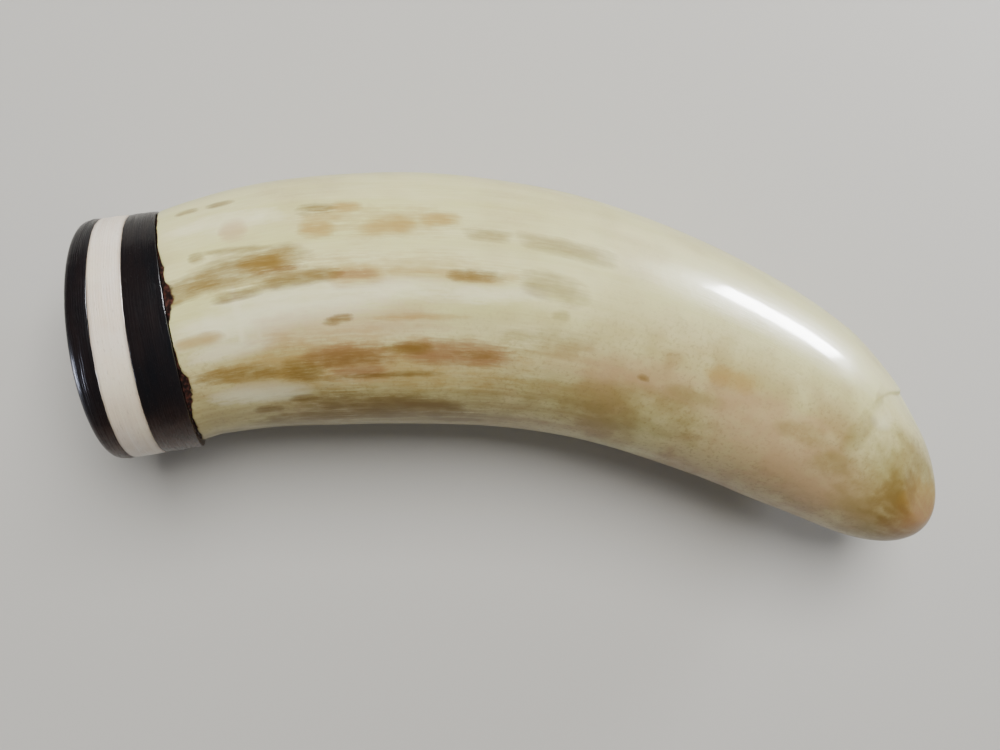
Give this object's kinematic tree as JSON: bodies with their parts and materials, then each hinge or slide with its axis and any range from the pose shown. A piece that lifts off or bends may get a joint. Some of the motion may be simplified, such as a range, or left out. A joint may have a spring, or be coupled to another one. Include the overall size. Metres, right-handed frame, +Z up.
{
  "type": "whale tooth ornament",
  "caption": "Polished curved whale tooth lying on its flank, its root capped by a glued sandwich of dark horn and pale bone discs.",
  "frame": {"origin": "on the surface the tooth lies on, under the middle of its bounding box", "axes": "+X from the base discs to the tip, +Z up away from the surface it lies on, +Y toward the convex back"},
  "size_m": [0.1568, 0.0688, 0.0407],
  "materials": {
    "polished_ivory": "polished, yellowed ivory with lengthwise brown streaks",
    "dark_horn": "polished near-black horn, reddish brown where thin",
    "pale_bone": "satin pale bone with fine turned lines"
  },
  "bodies": {
    "root": {"tooth": "polished_ivory", "inner_dark_disc": "dark_horn", "pale_disc": "pale_bone", "outer_dark_disc": "dark_horn"}
  },
  "joints": []
}
